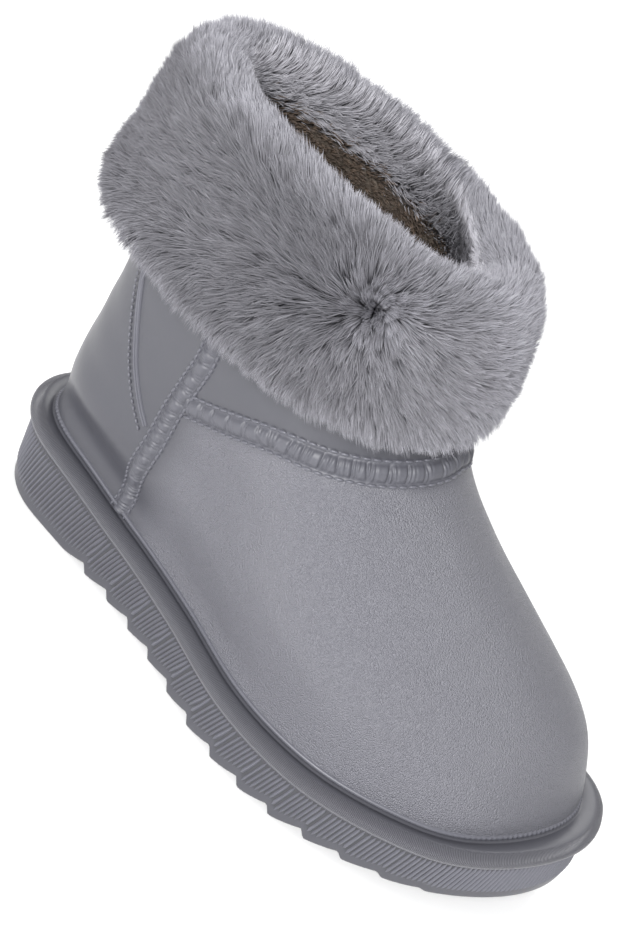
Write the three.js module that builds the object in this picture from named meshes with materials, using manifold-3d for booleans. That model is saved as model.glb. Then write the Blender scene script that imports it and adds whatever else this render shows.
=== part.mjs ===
// Ankle-high moulded snow boot for the right foot, with a fur cuff folded over its collar.
// Millimetres, +Z up, +X from heel to toe, -Y the outer (lateral) side of the foot.
import * as THREE from 'three';
import { mergeVertices } from 'three/addons/utils/BufferGeometryUtils.js';
import Module from 'manifold-3d';

const wasm = await Module();
wasm.setup();

// Driving sizes.
const length = 270;          // side wall of the sole, heel to toe
const ballHalf = 50.5;       // half width of the sole across the ball of the foot
const swing = 17;            // how far the toe end turns inwards
const heelShift = -4;        // the heel's middle line from y = 0
const wall = 2.8;            // wall of the moulded upper
const gap = 0.3;             // clearance where two pieces meet
const toeSpring = 15;        // lift of the sole under the toe tip
const springStart = 158;     // where that lift begins
const heelSpring = 3;        // rounding under the back of the heel
const heelRun = 30;
const rimHeight = 6;         // thickness of the rim around the sole
const around = 72;           // points around every section

// Half widths of the sole as shares of ballHalf, before the two ends are rounded off.
const outlineTable = [
  { along: 0.00, lateral: 1.29, medial: 1.29 },
  { along: 0.14, lateral: 0.86, medial: 0.97 },
  { along: 0.27, lateral: 0.74, medial: 0.80 },
  { along: 0.40, lateral: 0.81, medial: 0.74 },
  { along: 0.54, lateral: 1.05, medial: 0.83 },
  { along: 0.67, lateral: 1.22, medial: 0.91 },
  { along: 0.79, lateral: 1.33, medial: 1.02 },
  { along: 0.90, lateral: 1.46, medial: 1.17 },
  { along: 1.00, lateral: 1.43, medial: 1.43 },
];

// Height of the rim's lower edge along the sole.
const rimTable = [
  { along: 0.00, height: 33 },
  { along: 0.12, height: 29.3 },
  { along: 0.25, height: 23.6 },
  { along: 0.40, height: 19.6 },
  { along: 0.55, height: 18.2 },
  { along: 0.70, height: 20.2 },
  { along: 0.85, height: 26 },
  { along: 1.00, height: 36 },
];

// How far the upper stands in from the side wall: at its foot, and a little above it.
const insetTable = [
  { along: 0.00, foot: 6.0, above: 6.8 },
  { along: 0.10, foot: 5.6, above: 6.4 },
  { along: 0.30, foot: 4.6, above: 5.4 },
  { along: 0.60, foot: 4.6, above: 5.4 },
  { along: 0.85, foot: 5.4, above: 7.0 },
  { along: 1.00, foot: 7.5, above: 12 },
];
const aboveHeight = 11;

// How far the side wall leans out at the tread.
const flareTable = [
  { along: 0.00, out: -1.8 },
  { along: 0.12, out: 0.8 },
  { along: 0.30, out: 2.0 },
  { along: 0.45, out: 3.2 },
  { along: 0.60, out: 3.0 },
  { along: 0.75, out: 1.4 },
  { along: 0.90, out: 0.8 },
  { along: 1.00, out: 4.4 },
];

// Sections of the upper above its foot, from the toe box up to the collar. Each one runs from a
// point on the heel line to a point on the instep line; the half widths are for heel end, waist,
// ball and front end, before the ends are rounded off.
const upperTable = [
  { backX: 6.0, backZ: 62, frontX: 246, frontZ: 68, heel: 59, waistOut: 36, waistIn: 35,
    ballOut: 57, ballIn: 41, nose: 58, turn: 14, sag: 0.5 },
  { backX: 6.5, backZ: 77, frontX: 226.5, frontZ: 82, heel: 56, waistOut: 36, waistIn: 35,
    ballOut: 52, ballIn: 40, nose: 51, turn: 10, sag: 0.25 },
  { backX: 7.5, backZ: 92, frontX: 204.5, frontZ: 94, heel: 53, waistOut: 37, waistIn: 36,
    ballOut: 47, ballIn: 39, nose: 45, turn: 6, sag: 0.1 },
  { backX: 8.5, backZ: 107, frontX: 181.5, frontZ: 106, heel: 50, waistOut: 38, waistIn: 37,
    ballOut: 44, ballIn: 39, nose: 42, turn: 3, sag: 0 },
  { backX: 9.0, backZ: 122, frontX: 162, frontZ: 119, heel: 48, waistOut: 39, waistIn: 38,
    ballOut: 43, ballIn: 40, nose: 42, turn: 1, sag: 0 },
  { backX: 9.0, backZ: 138, frontX: 148, frontZ: 134, heel: 46, waistOut: 41, waistIn: 40,
    ballOut: 43, ballIn: 41, nose: 43, turn: 0, sag: 0 },
  { backX: 8.5, backZ: 158, frontX: 138, frontZ: 151, heel: 44, waistOut: 42, waistIn: 42,
    ballOut: 43, ballIn: 42, nose: 43, turn: 0, sag: 0 },
  { backX: 8.5, backZ: 182, frontX: 133, frontZ: 171, heel: 43, waistOut: 42, waistIn: 42,
    ballOut: 43, ballIn: 42, nose: 43, turn: 0, sag: 0 },
];
const ringsPerRow = 2;       // rings of the upper from one row of the table to the next

// Fur cuff: the pelt's own section, from its lower edge inside the boot over the crest to the
// flap's lower edge outside. down is measured along the shaft from the collar edge, out from the
// shaft's outer face.
const cuffTable = [
  { down: 31, out: -4.5, crest: 0, drop: 0, girth: 0, swell: 0 },
  { down: 32, out: -9, crest: 0, drop: 0, girth: 0, swell: 0 },
  { down: 24, out: -13, crest: 0, drop: 0, girth: 0, swell: 0 },
  { down: 8, out: -14, crest: 0.2, drop: 0, girth: 0, swell: 0 },
  { down: -10, out: -12, crest: 0.7, drop: 0, girth: 0, swell: 0 },
  { down: -19, out: -5, crest: 1, drop: 0, girth: 0, swell: 0 },
  { down: -20, out: 4, crest: 1, drop: 0, girth: 0, swell: 0 },
  { down: -13, out: 14, crest: 0.6, drop: 0.05, girth: 0.5, swell: 0 },
  { down: 1, out: 20, crest: 0.2, drop: 0.3, girth: 1, swell: 0 },
  { down: 14, out: 21, crest: 0, drop: 0.65, girth: 1, swell: 0.15 },
  { down: 24, out: 18, crest: 0, drop: 0.9, girth: 0.7, swell: 1 },
  { down: 31, out: 10, crest: 0, drop: 1, girth: 0.3, swell: 1.1 },
  { down: 29, out: 3, crest: 0, drop: 1, girth: 0, swell: 0.3 },
];

// How the cuff changes round the collar: turn 0 is the heel and 0.25 the outer side. crest raises
// the roll, drop lowers the flap, girth widens it and swell thickens its lower edge, each by its
// share in the table above.
const cuffTurnTable = [
  { turn: 0.00, crest: 1.0, drop: 7, girth: -2, swell: 3 },
  { turn: 0.08, crest: 0.0, drop: 9, girth: -3, swell: 7 },
  { turn: 0.16, crest: -0.8, drop: 9, girth: -2, swell: 2.5 },
  { turn: 0.25, crest: 0.5, drop: 8, girth: 0, swell: 0 },
  { turn: 0.33, crest: 0.8, drop: 7, girth: 0, swell: 0 },
  { turn: 0.41, crest: -1.0, drop: 4, girth: -1, swell: 0 },
  { turn: 0.50, crest: 0.0, drop: 0, girth: -3.5, swell: 0 },
  { turn: 0.60, crest: 1.0, drop: 0, girth: -1.5, swell: 0 },
  { turn: 0.70, crest: 2.0, drop: 1.5, girth: 0, swell: 0 },
  { turn: 0.80, crest: 2.4, drop: 3, girth: 0, swell: 0 },
  { turn: 0.90, crest: 2.0, drop: 5, girth: -1, swell: 1 },
  { turn: 1.00, crest: 1.0, drop: 7, girth: -2, swell: 3 },
];
const cuffRings = 3;         // rings of the shaft that the pelt lies against
const collarRoom = 0.6;      // clearance over the collar edge

// Lugs: saw teeth along both edges of the sole.
const lugPitch = 14.5;
const lugCount = 13;
const lugFull = 9;           // lugs at their full depth; the ones in front are shallower
const lugStart = 63.2;
const lugDepth = 3.6;
const lugInner = 15;         // half width of the plain tread between the two rows
const insoleThickness = 5;

const white = new THREE.Color(0xffffff);

function material(hex, roughness) {
  return new THREE.MeshStandardMaterial({ color: white.clone().set(hex), roughness, metalness: 0 });
}

// A smooth curve through a table's rows: one column against another.
function column(table, input, output) {
  const xs = table.map((row) => row[input]);
  const ys = table.map((row) => row[output]);
  return smooth(xs, ys);
}

function smooth(xs, ys) {
  const last = xs.length - 1;
  const slopes = xs.map((x, i) => {
    const a = Math.max(i - 1, 0);
    const b = Math.min(i + 1, last);
    return (ys[b] - ys[a]) / (xs[b] - xs[a]);
  });
  return (x) => {
    let i = 0;
    while (i < last - 1 && x > xs[i + 1]) i += 1;
    const h = xs[i + 1] - xs[i];
    const t = (x - xs[i]) / h;
    const t2 = t * t;
    const t3 = t2 * t;
    return ys[i] * (2 * t3 - 3 * t2 + 1) + ys[i + 1] * (3 * t2 - 2 * t3)
      + h * slopes[i] * (t3 - 2 * t2 + t) + h * slopes[i + 1] * (t3 - t2);
  };
}

const lateralHalf = column(outlineTable, 'along', 'lateral');
const medialHalf = column(outlineTable, 'along', 'medial');
const rimUnder = column(rimTable, 'along', 'height');
const footInset = column(insetTable, 'along', 'foot');
const aboveInset = column(insetTable, 'along', 'above');
const wallFlare = column(flareTable, 'along', 'out');
const cuffCrest = column(cuffTurnTable, 'turn', 'crest');
const cuffDrop = column(cuffTurnTable, 'turn', 'drop');
const cuffGirth = column(cuffTurnTable, 'turn', 'girth');
const cuffSwell = column(cuffTurnTable, 'turn', 'swell');

// Point of the sole's outline; angle 0 is the heel, a quarter turn the outer side.
function outlinePoint(angle) {
  const along = (1 - Math.cos(angle)) / 2;
  const side = Math.sin(angle);
  const half = ballHalf * (side > 0 ? lateralHalf(along) : medialHalf(along));
  return new THREE.Vector2(length * along, heelShift + swing * along ** 3 - half * side);
}

function outline(angle, offset) {
  const step = 0.01;
  const ahead = outlinePoint(angle + step);
  const behind = outlinePoint(angle - step);
  const tangent = ahead.sub(behind).normalize();
  const point = outlinePoint(angle);
  return new THREE.Vector2(point.x + tangent.y * offset, point.y - tangent.x * offset);
}

function along(x) {
  return THREE.MathUtils.clamp(x / length, 0, 1);
}

function seatHeight(x) {
  return rimUnder(along(x)) + rimHeight;
}

function treadHeight(x) {
  const reach = Math.max(x - springStart, 0) / (length - springStart);
  const heel = Math.max(heelRun - x, 0) / heelRun;
  return toeSpring * reach ** 1.9 + heelSpring * heel ** 1.8;
}

const angles = Array.from({ length: around }, (_, i) => (i / around) * 2 * Math.PI);

// One section of the upper as a ring of points.
function upperRing(row) {
  const stations = [0, 0.3, 0.7, 1];
  const outer = smooth(stations, [row.heel, row.waistOut, row.ballOut, row.nose]);
  const inner = smooth(stations, [row.heel, row.waistIn, row.ballIn, row.nose]);
  const seatBack = seatHeight(0);
  const seatFront = seatHeight(length);
  return angles.map((angle) => {
    const s = (1 - Math.cos(angle)) / 2;
    const side = Math.sin(angle);
    const half = side > 0 ? outer(s) : inner(s);
    const x = THREE.MathUtils.lerp(row.backX, row.frontX, s);
    const dip = seatHeight(s * length) - THREE.MathUtils.lerp(seatBack, seatFront, s);
    const z = THREE.MathUtils.lerp(row.backZ, row.frontZ, s) + row.sag * dip;
    return new THREE.Vector3(x, heelShift + row.turn * s ** 3 - half * side, z);
  });
}

// Ring along the foot of the upper; inset is one of the two curves, more is added to it.
function footRing(inset, more, lift) {
  return angles.map((angle) => {
    const share = (1 - Math.cos(angle)) / 2;
    const p = outline(angle, -inset(share) - more);
    return new THREE.Vector3(p.x, p.y, seatHeight(p.x) + lift);
  });
}

// Outer face of the upper: rings from the foot to the collar, smooth through the sections.
function upperRings() {
  const keys = [footRing(footInset, 0, gap), footRing(aboveInset, 0, aboveHeight)];
  upperTable.forEach((row) => keys.push(upperRing(row)));
  const rings = [];
  const count = (keys.length - 1) * ringsPerRow;
  const rows = keys.map((_, i) => i);
  for (let k = 0; k <= count; k += 1) {
    const level = k / ringsPerRow;
    rings.push(angles.map((_, i) => new THREE.Vector3(
      smooth(rows, keys.map((ring) => ring[i].x))(level),
      smooth(rows, keys.map((ring) => ring[i].y))(level),
      smooth(rows, keys.map((ring) => ring[i].z))(level),
    )));
  }
  return rings;
}

function ringNormals(rings) {
  return rings.map((ring, k) => ring.map((point, i) => {
    const right = ring[(i + 1) % around];
    const left = ring[(i + around - 1) % around];
    const above = rings[Math.min(k + 1, rings.length - 1)][i];
    const below = rings[Math.max(k - 1, 0)][i];
    const across = right.clone().sub(left);
    return across.cross(above.clone().sub(below)).normalize();
  }));
}

// Closed body from rings: neighbouring rings are joined, the list closes on itself as a tube
// or its two ends are capped.
function loft(rings, capped) {
  const count = rings[0].length;
  const points = rings.flat();
  const triangles = [];
  const joins = capped ? rings.length - 1 : rings.length;
  for (let k = 0; k < joins; k += 1) {
    const a = k * count;
    const b = ((k + 1) % rings.length) * count;
    for (let i = 0; i < count; i += 1) {
      const j = (i + 1) % count;
      triangles.push(a + i, a + j, b + j, a + i, b + j, b + i);
    }
  }
  if (capped) {
    addCap(points, triangles, 0, count, true);
    addCap(points, triangles, (rings.length - 1) * count, count, false);
  }
  return solid(points, triangles);
}

// A cap runs in strips from side to side, so that it follows the ring's own bend.
function addCap(points, triangles, start, count, flip) {
  for (let i = 0; i < count / 2; i += 1) {
    const a = start + i;
    const b = start + i + 1;
    const c = start + ((count - i) % count);
    const d = start + count - i - 1;
    const faces = [[a, b, d], [a, d, c]];
    faces.forEach((face) => {
      if (new Set(face).size < 3) return;
      triangles.push(...(flip ? [face[0], face[2], face[1]] : face));
    });
  }
}

function solid(points, triangles) {
  const vertProperties = new Float32Array(points.flatMap((p) => [p.x, p.y, p.z]));
  const triVerts = new Uint32Array(triangles);
  const mesh = new wasm.Mesh({ numProp: 3, vertProperties, triVerts });
  mesh.merge();
  return new wasm.Manifold(mesh);
}

function toMesh(body, name, surface) {
  const data = body.getMesh();
  const geometry = new THREE.BufferGeometry();
  geometry.setAttribute('position', new THREE.BufferAttribute(data.vertProperties, 3));
  geometry.setIndex(new THREE.BufferAttribute(data.triVerts, 1));
  geometry.computeVertexNormals();
  const mesh = new THREE.Mesh(geometry, surface);
  mesh.name = name;
  return mesh;
}

function buildUpper(rings, normals) {
  const inner = rings.map((ring, k) => ring.map((point, i) => (
    point.clone().addScaledVector(normals[k][i], -wall)
  )));
  inner[0] = footRing(footInset, wall, gap);
  return loft([...rings, ...inner.reverse()], false);
}

// Sole: platform, rim, side wall and tread, then the lugs are cut.
function buildSole() {
  const profile = [
    { offset: -12, lean: 0, height: (x) => seatHeight(x) },
    { offset: -4, lean: 0, height: (x) => seatHeight(x) },
    { offset: -2.6, lean: 0, height: (x) => seatHeight(x) - 1.4 },
    { offset: 0.4, lean: 0, height: (x) => seatHeight(x) - 0.1 },
    { offset: 2.4, lean: 0, height: (x) => seatHeight(x) - 0.7 },
    { offset: 3.4, lean: 0, height: (x) => seatHeight(x) - 2.8 },
    { offset: 2.8, lean: 0, height: (x) => seatHeight(x) - rimHeight + 0.6 },
    { offset: 0, lean: 0, height: (x) => seatHeight(x) - rimHeight - 0.8 },
    { offset: 0, lean: 0.8, height: (x) => treadHeight(x) + 5 },
    { offset: 0, lean: 1, height: (x) => treadHeight(x) + 1.2 },
    { offset: -1.2, lean: 1, height: (x) => treadHeight(x) },
  ];
  const rings = profile.map(({ offset, lean, height }) => angles.map((angle) => {
    const share = (1 - Math.cos(angle)) / 2;
    const p = outline(angle, offset + lean * wallFlare(share));
    return new THREE.Vector3(p.x, p.y, height(p.x));
  }));
  let body = loft(rings.reverse(), true);
  lugCutters().forEach((cutter) => {
    body = body.subtract(cutter);
  });
  return body;
}

// Each notch is steep towards the heel and runs out slowly behind it.
function lugCutters() {
  const notch = [
    { back: 2.5, height: -3 },
    { back: 2.5, height: 0 },
    { back: 0, height: 1 },
    { back: -4, height: 0.56 },
    { back: -8, height: 0.2 },
    { back: -11, height: 0 },
    { back: -11, height: -3 },
  ];
  const cutters = [];
  const reach = 60;
  for (let n = 0; n < lugCount; n += 1) {
    const x = lugStart + n * lugPitch;
    const middle = heelShift + swing * along(x) ** 3;
    const depth = lugDepth * THREE.MathUtils.clamp(1 - (n - lugFull) * 0.22, 0.3, 1);
    const shape = new THREE.Shape(notch.map((p) => (
      new THREE.Vector2(x + p.back, treadHeight(x + p.back) + p.height * (p.height > 0 ? depth : 1))
    )));
    [-1, 1].forEach((side) => {
      const cutter = new THREE.ExtrudeGeometry(shape, { depth: reach, bevelEnabled: false });
      cutter.rotateX(Math.PI / 2);
      cutter.translate(0, side > 0 ? middle + lugInner + reach : middle - lugInner, 0);
      cutters.push(fromGeometry(cutter));
    });
  }
  return cutters;
}

function fromGeometry(geometry) {
  geometry.deleteAttribute('normal');
  geometry.deleteAttribute('uv');
  const merged = mergeVertices(geometry, 1e-4);
  return new wasm.Manifold(new wasm.Mesh({
    numProp: 3,
    vertProperties: merged.attributes.position.array,
    triVerts: new Uint32Array(merged.index.array),
  }));
}

function buildInsole() {
  const sections = [
    { inset: 1.5, lift: 0 },
    { inset: 0, lift: 1.2 },
    { inset: 0, lift: insoleThickness - 1.5 },
    { inset: 2, lift: insoleThickness },
  ];
  const rings = sections.map(({ inset, lift }) => (
    footRing(aboveInset, wall + 1.6 + inset, gap + lift)
  ));
  return loft(rings, true);
}

// Point beside the shaft, measured down from the collar edge and out from the outer face.
function shaftPoint(rings, normals, i, down, out) {
  let k = rings.length - 1;
  let left = down;
  while (left > 0 && k > 1) {
    const step = rings[k][i].distanceTo(rings[k - 1][i]);
    if (left <= step) {
      const share = left / step;
      const point = rings[k][i].clone().lerp(rings[k - 1][i], share);
      const normal = normals[k][i].clone().lerp(normals[k - 1][i], share).normalize();
      return point.addScaledVector(normal, out);
    }
    left -= step;
    k -= 1;
  }
  const up = rings[k][i].clone().sub(rings[k - 1][i]).normalize();
  return rings[k][i].clone().addScaledVector(up, -left).addScaledVector(normals[k][i], out);
}

function buildCuff(rings, normals) {
  const last = rings.length - 1;
  const beside = (k, out) => rings[k].map((point, i) => (
    point.clone().addScaledVector(normals[k][i], out)
  ));
  const section = (down, out) => angles.map((_, i) => shaftPoint(rings, normals, i, down, out));
  const sections = [];
  for (let k = last - cuffRings + 1; k < last; k += 1) sections.push(beside(k, gap));
  sections.push(section(-collarRoom, gap));
  sections.push(section(-collarRoom, -wall - gap));
  for (let k = last - 1; k > last - cuffRings; k -= 1) sections.push(beside(k, -wall - gap));
  cuffTable.forEach((row) => sections.push(angles.map((_, i) => {
    const turn = i / around;
    const down = row.down - row.crest * cuffCrest(turn) + row.drop * cuffDrop(turn);
    const out = row.out + row.girth * cuffGirth(turn) + row.swell * cuffSwell(turn);
    return shaftPoint(rings, normals, i, down, out);
  })));
  return loft(sections.reverse(), false);
}

const rings = upperRings();
const normals = ringNormals(rings);
const slate = () => material(0x84868e, 0.55);
const group = new THREE.Group();
group.name = 'snow_boot';
group.add(toMesh(buildSole(), 'sole', slate()));
group.add(toMesh(buildUpper(rings, normals), 'upper', slate()));
group.add(toMesh(buildCuff(rings, normals), 'fur_cuff', material(0x8c8c92, 0.95)));
group.add(toMesh(buildInsole(), 'insole', material(0x8a7f74, 0.95)));

// The frame's origin is the bottom centre of the whole boot.
const box = new THREE.Box3().setFromObject(group);
const middle = box.getCenter(new THREE.Vector3());
group.children.forEach((mesh) => mesh.geometry.translate(-middle.x, -middle.y, -box.min.z));

export default group;
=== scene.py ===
import math

import bmesh
import bpy
import numpy as np
from mathutils import Matrix, Vector


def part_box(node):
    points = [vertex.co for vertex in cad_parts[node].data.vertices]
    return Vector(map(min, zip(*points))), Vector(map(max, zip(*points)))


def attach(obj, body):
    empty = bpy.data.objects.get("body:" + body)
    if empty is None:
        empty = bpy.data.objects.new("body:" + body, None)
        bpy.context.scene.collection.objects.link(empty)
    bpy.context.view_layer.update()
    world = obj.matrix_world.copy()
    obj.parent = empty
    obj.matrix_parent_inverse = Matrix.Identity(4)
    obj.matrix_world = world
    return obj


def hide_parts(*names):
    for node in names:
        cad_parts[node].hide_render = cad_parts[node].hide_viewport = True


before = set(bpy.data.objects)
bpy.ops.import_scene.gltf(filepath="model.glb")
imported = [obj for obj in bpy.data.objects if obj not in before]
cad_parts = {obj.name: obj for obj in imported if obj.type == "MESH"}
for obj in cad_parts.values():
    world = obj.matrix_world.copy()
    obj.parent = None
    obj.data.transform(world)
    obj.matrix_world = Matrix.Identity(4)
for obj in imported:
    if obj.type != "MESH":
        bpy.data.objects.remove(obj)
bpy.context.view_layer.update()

# the last: the same sections as the solid upper and sole, in millimetres
last = {
    "length": 270,  # side wall of the sole, heel to toe
    "ballHalf": 50.5,
    "swing": 17,  # the toe end turns inwards
    "heelShift": -4,
    "wall": 2.8,  # thickness of the moulded upper
    "toeSpring": 15,
    "springStart": 158,
    "heelSpring": 3,
    "heelRun": 30,
    "rimHeight": 6,
    "aboveHeight": 11,
}
outlineTable = {
    "along":   [0.00, 0.14, 0.27, 0.40, 0.54, 0.67, 0.79, 0.90, 1.00],
    "lateral": [1.29, 0.86, 0.74, 0.81, 1.05, 1.22, 1.33, 1.46, 1.43],
    "medial":  [1.29, 0.97, 0.80, 0.74, 0.83, 0.91, 1.02, 1.17, 1.43],
}
rimTable = {
    "along":  [0.00, 0.12, 0.25, 0.40, 0.55, 0.70, 0.85, 1.00],
    "height": [33, 29.3, 23.6, 19.6, 18.2, 20.2, 26, 36],
}
insetTable = {  # how far the upper stands in from the side wall
    "along": [0.0, 0.1, 0.3, 0.6, 0.85, 1.0],
    "foot":  [6.0, 5.6, 4.6, 4.6, 5.4, 7.5],
    "above": [6.8, 6.4, 5.4, 5.4, 7.0, 12.0],
}
flareTable = {  # how far the side wall leans out at the tread
    "along": [0.0, 0.12, 0.3, 0.45, 0.6, 0.75, 0.9, 1.0],
    "out":   [-1.8, 0.8, 2.0, 3.2, 3.0, 1.4, 0.8, 4.4],
}
upperTable = {
    "backX":    [6.0, 6.5, 7.5, 8.5, 9.0, 9.0, 8.5, 8.5],
    "backZ":    [62, 77, 92, 107, 122, 138, 158, 182],
    "frontX":   [246, 226.5, 204.5, 181.5, 162, 148, 138, 133],
    "frontZ":   [68, 82, 94, 106, 119, 134, 151, 171],
    "heel":     [59, 56, 53, 50, 48, 46, 44, 43],
    "waistOut": [36, 36, 37, 38, 39, 41, 42, 42],
    "waistIn":  [35, 35, 36, 37, 38, 40, 42, 42],
    "ballOut":  [57, 52, 47, 44, 43, 43, 43, 43],
    "ballIn":   [41, 40, 39, 39, 40, 41, 42, 42],
    "nose":     [58, 51, 45, 42, 42, 43, 43, 43],
    "turn":     [14, 10, 6, 3, 1, 0, 0, 0],
    "sag":      [0.5, 0.25, 0.1, 0, 0, 0, 0, 0],   # share of the seat's dip that a section keeps
}
tau = 2 * np.pi
topLevel = 9  # the collar; level 0 is the foot of the upper, and the levels between are its sections


def hermite(t, h, y0, y1, m0, m1):
    t2, t3 = t * t, t * t * t
    return (y0 * (2 * t3 - 3 * t2 + 1) + y1 * (3 * t2 - 2 * t3)
            + h * m0 * (t3 - 2 * t2 + t) + h * m1 * (t3 - t2))


def curve(xs, ys):
    # a smooth line through the stations, for numbers or whole arrays
    xs, ys = np.array(xs, float), np.array(ys, float)
    slopes = np.empty_like(ys)
    slopes[1:-1] = (ys[2:] - ys[:-2]) / (xs[2:] - xs[:-2])
    slopes[[0, -1]] = (np.diff(ys) / np.diff(xs))[[0, -1]]

    def at(x):
        x = np.asarray(x, float)
        i = np.clip(np.searchsorted(xs, x, side="right") - 1, 0, len(xs) - 2)
        h = xs[i + 1] - xs[i]
        return hermite((x - xs[i]) / h, h, ys[i], ys[i + 1], slopes[i], slopes[i + 1])
    return at


lateralHalf = curve(outlineTable["along"], outlineTable["lateral"])
medialHalf = curve(outlineTable["along"], outlineTable["medial"])
rimUnder = curve(rimTable["along"], rimTable["height"])
footInset = curve(insetTable["along"], insetTable["foot"])
aboveInset = curve(insetTable["along"], insetTable["above"])
wallFlare = curve(flareTable["along"], flareTable["out"])


def alongOf(angle):
    # share of the length: angle 0 is the heel, a quarter turn the outer side, a half the toe
    return (1 - np.cos(angle)) / 2


def outlinePoint(angle):
    along = alongOf(angle)
    side = np.sin(angle)
    half = last["ballHalf"] * np.where(side > 0, lateralHalf(along), medialHalf(along))
    return last["length"] * along, last["heelShift"] + last["swing"] * along ** 3 - half * side


def outline(angle, offset):
    x1, y1 = outlinePoint(angle + 0.01)
    x0, y0 = outlinePoint(angle - 0.01)
    run = np.hypot(x1 - x0, y1 - y0)
    x, y = outlinePoint(angle)
    return x + (y1 - y0) / run * offset, y - (x1 - x0) / run * offset


def middleLine(x):
    return last["heelShift"] + last["swing"] * np.clip(x / last["length"], 0, 1) ** 3


def seatHeight(x):
    return rimUnder(np.clip(x / last["length"], 0, 1)) + last["rimHeight"]


def treadHeight(x):
    reach = np.maximum(x - last["springStart"], 0) / (last["length"] - last["springStart"])
    heel = np.maximum(last["heelRun"] - x, 0) / last["heelRun"]
    return last["toeSpring"] * reach ** 1.9 + last["heelSpring"] * heel ** 1.8


def footRing(angle, inset, more, lift):
    x, y = outline(angle, -inset(alongOf(angle)) - more)
    return np.stack([x, y, seatHeight(x) + lift], -1)


def sectionRing(angle, row):
    get = {name: values[row] for name, values in upperTable.items()}
    s, side = alongOf(angle), np.sin(angle)
    outer, inner = (curve([0, 0.3, 0.7, 1], [get["heel"], get["waist" + k], get["ball" + k], get["nose"]])
                    for k in ("Out", "In"))
    half = np.where(side > 0, outer(s), inner(s))
    seatBack, seatFront = seatHeight(np.array([0.0, last["length"]]))
    dip = seatHeight(s * last["length"]) - (seatBack + (seatFront - seatBack) * s)
    x = get["backX"] + (get["frontX"] - get["backX"]) * s
    y = last["heelShift"] + get["turn"] * s ** 3 - half * side
    z = get["backZ"] + (get["frontZ"] - get["backZ"]) * s + get["sag"] * dip
    return np.stack([x, y, z], -1)


def upperPoint(angle, level):
    # outer face of the upper, smooth through its sections
    angle, level = np.broadcast_arrays(np.asarray(angle, float), np.asarray(level, float))
    keys = [footRing(angle, footInset, 0, 0.3), footRing(angle, aboveInset, 0, last["aboveHeight"])]
    keys += [sectionRing(angle, row) for row in range(8)]
    keys = np.array(keys)
    slopes = np.gradient(keys, axis=0)
    i = np.clip(np.floor(level).astype(int), 0, topLevel - 1)

    def pick(stack, k):
        return np.take_along_axis(stack, k[None, ..., None], 0)[0]
    t = (level - i)[..., None]
    return hermite(t, 1, pick(keys, i), pick(keys, i + 1), pick(slopes, i), pick(slopes, i + 1))


def unit(v):
    return v / np.maximum(np.linalg.norm(v, axis=-1, keepdims=True), 1e-9)


def runOf(points):
    # distance along a line of points, at each of them
    return np.concatenate([[0], np.cumsum(np.linalg.norm(np.diff(points, axis=0), axis=1))])


def upperFrame(angle, level):
    # point, the two surface directions and the outward normal
    step = 0.004
    low, high = np.maximum(level - 0.02, 0), np.minimum(level + 0.02, topLevel)
    acrossDir = (upperPoint(angle + step, level) - upperPoint(angle - step, level)) / (2 * step)
    upDir = (upperPoint(angle, high) - upperPoint(angle, low)) / (high - low)[..., None]
    return upperPoint(angle, level), acrossDir, upDir, unit(np.cross(acrossDir, upDir))


# into the frame: metres, with the solid upper's own lowest corner as the common point
ringAngles = np.arange(72) / 72 * tau
ownUpper = upperPoint(*[a.ravel() for a in np.meshgrid(ringAngles, np.arange(19) / 2)])
shift = np.array(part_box("upper")[0]) - ownUpper.min(0) / 1000


def toFrame(points):
    return points / 1000 + shift


camera = {
    "aim": (108, 0, 84.3),  # millimetres in the last's own frame
    "azimuth": 15.9,
    "elevation": 32.1,
    "roll": 33.3,
    "distance": 423.4,
    "lens": 29.38,  # on a 24 mm high sensor
}


def addObject(name, data):
    made = bpy.data.objects.new(name, data)
    bpy.context.scene.collection.objects.link(made)
    return made


def placeCamera():
    azimuth, elevation, roll = (math.radians(camera[k]) for k in ("azimuth", "elevation", "roll"))
    turned = (Matrix.Rotation(azimuth, 4, "Z") @ Matrix.Rotation(math.pi / 2 - elevation, 4, "X")
              @ Matrix.Rotation(roll, 4, "Z"))
    aim = Vector(toFrame(np.array(camera["aim"])))
    data = bpy.data.cameras.new("camera")
    data.sensor_fit, data.sensor_height, data.sensor_width = "VERTICAL", 24, 24
    data.lens, data.clip_start = camera["lens"], 0.01
    cam = addObject("camera", data)
    back = Matrix.Translation((0, 0, camera["distance"] / 1000))
    cam.matrix_world = Matrix.Translation(aim) @ turned @ back
    bpy.context.scene.camera = cam


placeCamera()


class Wire:
    # a socket that can be used in plain arithmetic

    def __init__(self, shade, socket):
        self.shade, self.socket = shade, socket

    def math(self, operation, a, b):
        return self.shade.node("ShaderNodeMath", {"operation": operation}, {0: a, 1: b})

    def __add__(self, other):
        return self.math("ADD", self, other)

    def __sub__(self, other):
        return self.math("SUBTRACT", self, other)

    def __mul__(self, other):
        return self.math("MULTIPLY", self, other)

    def __rsub__(self, other):
        return self.math("SUBTRACT", other, self)

    __radd__, __rmul__ = __add__, __mul__

    def clamp(self):
        return self.shade.node("ShaderNodeClamp", {}, {"Value": self})


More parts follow.
